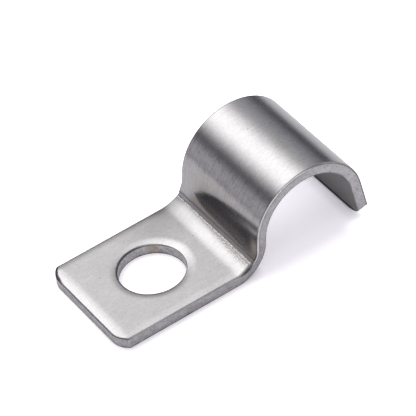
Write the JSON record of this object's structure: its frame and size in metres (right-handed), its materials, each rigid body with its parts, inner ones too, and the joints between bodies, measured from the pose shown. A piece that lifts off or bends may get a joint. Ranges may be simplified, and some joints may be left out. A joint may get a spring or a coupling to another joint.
{
  "type": "conduit strap",
  "caption": "Folded steel strap that holds a round conduit to a wall: a flat tab with a screw hole, a bend, and a half-round saddle ending in a free leg.",
  "frame": {"origin": "on the axis of the fixing hole, on the wall plane that the tab's lower face lies on", "axes": "+X from the fixing hole towards the saddle, +Y along the conduit, +Z away from the wall"},
  "size_m": [0.0454, 0.02, 0.0152],
  "materials": {
    "steel": "brushed stainless sheet, with plain sheared edges"
  },
  "bodies": {
    "root": {"strap": "steel"}
  },
  "joints": []
}
